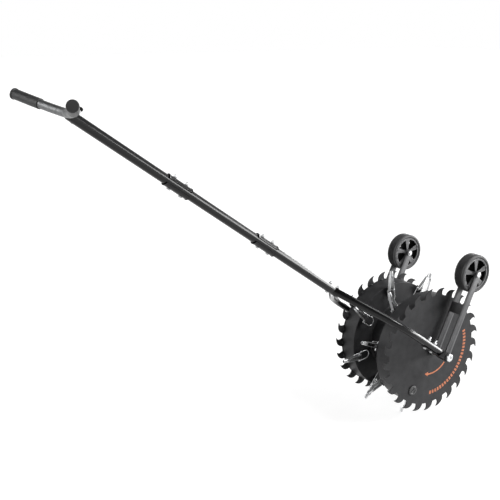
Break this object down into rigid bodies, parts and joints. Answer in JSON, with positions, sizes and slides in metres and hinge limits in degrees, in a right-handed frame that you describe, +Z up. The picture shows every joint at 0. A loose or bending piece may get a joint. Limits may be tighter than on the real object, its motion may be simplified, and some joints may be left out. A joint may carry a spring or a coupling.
{
  "type": "rolling lawn aerator",
  "caption": "Push lawn aerator: a drum with hollow coring tines between two toothed discs, on a fork with a long jointed handle, with small transport wheels on arms.",
  "frame": {"origin": "on the ground under the middle of the whole machine's outline, as it stands in use on its tines", "axes": "+X from the handlebar towards the drum, the way it is pushed; +Y along the axle to the user's left; +Z up"},
  "size_m": [1.6038, 0.4526, 1.2115],
  "materials": {
    "frame_paint": "satin black paint",
    "bracket_paint": "satin black paint",
    "drum_paint": "semi-gloss charcoal paint",
    "zinc": "bright zinc plate",
    "bar_steel": "clear zinc plate",
    "grip_vinyl": "matte vinyl",
    "tyre": "matte ribbed tread",
    "wheel_plastic": "moulded grey",
    "plug_plastic": "moulded black",
    "bush_plastic": "moulded nylon"
  },
  "bodies": {
    "frame": {"handlebar": "bar_steel", "left_grip": "grip_vinyl", "right_grip": "grip_vinyl", "upper_tube": "frame_paint", "middle_tube": "frame_paint", "lower_tube": "frame_paint", "upper_joint_top_plate": "frame_paint", "upper_joint_bottom_plate": "frame_paint", "lower_joint_top_plate": "frame_paint", "lower_joint_bottom_plate": "frame_paint", "fork": "frame_paint", "left_wheel_bracket": "bracket_paint", "right_wheel_bracket": "bracket_paint", "axle": "zinc", "axle_nut": "zinc", "left_wheel_bolt": "zinc", "right_wheel_bolt": "zinc"},
    "rotor": {"drum": "drum_paint", "hub_tube": "drum_paint", "filler_plug": "plug_plastic", "left_toothed_disc": "drum_paint", "right_toothed_disc": "drum_paint", "left_hub_bush": "bush_plastic", "right_hub_bush": "bush_plastic", "tine_1": "zinc", "tine_2": "zinc", "tine_3": "zinc", "tine_4": "zinc", "tine_5": "zinc", "tine_6": "zinc", "tine_7": "zinc", "tine_8": "zinc", "tine_9": "zinc", "tine_10": "zinc", "tine_11": "zinc", "tine_12": "zinc", "tine_13": "zinc", "tine_14": "zinc", "tine_15": "zinc", "tine_16": "zinc", "lock_pin_1": "zinc", "lock_pin_2": "zinc", "lock_pin_3": "zinc", "lock_pin_4": "zinc", "lock_pin_5": "zinc", "lock_pin_6": "zinc", "lock_pin_7": "zinc", "lock_pin_8": "zinc", "lock_pin_9": "zinc", "lock_pin_10": "zinc", "lock_pin_11": "zinc", "lock_pin_12": "zinc", "lock_pin_13": "zinc", "lock_pin_14": "zinc", "lock_pin_15": "zinc", "lock_pin_16": "zinc"},
    "left_wheel": {"left_tyre": "tyre", "left_wheel_hub": "wheel_plastic"},
    "right_wheel": {"right_tyre": "tyre", "right_wheel_hub": "wheel_plastic"}
  },
  "joints": [
    {"name": "rotor_spin", "type": "hinge", "parent": "frame", "child": "rotor", "pos_m": [0.54452, 0, 0.25741], "axis": [0, 1, 0], "continuous": true},
    {"name": "left_wheel_spin", "type": "hinge", "parent": "frame", "child": "left_wheel", "pos_m": [0.67556, 0.172, 0.53338], "axis": [0, 1, 0], "continuous": true},
    {"name": "right_wheel_spin", "type": "hinge", "parent": "frame", "child": "right_wheel", "pos_m": [0.67556, -0.172, 0.53338], "axis": [0, 1, 0], "continuous": true}
  ]
}
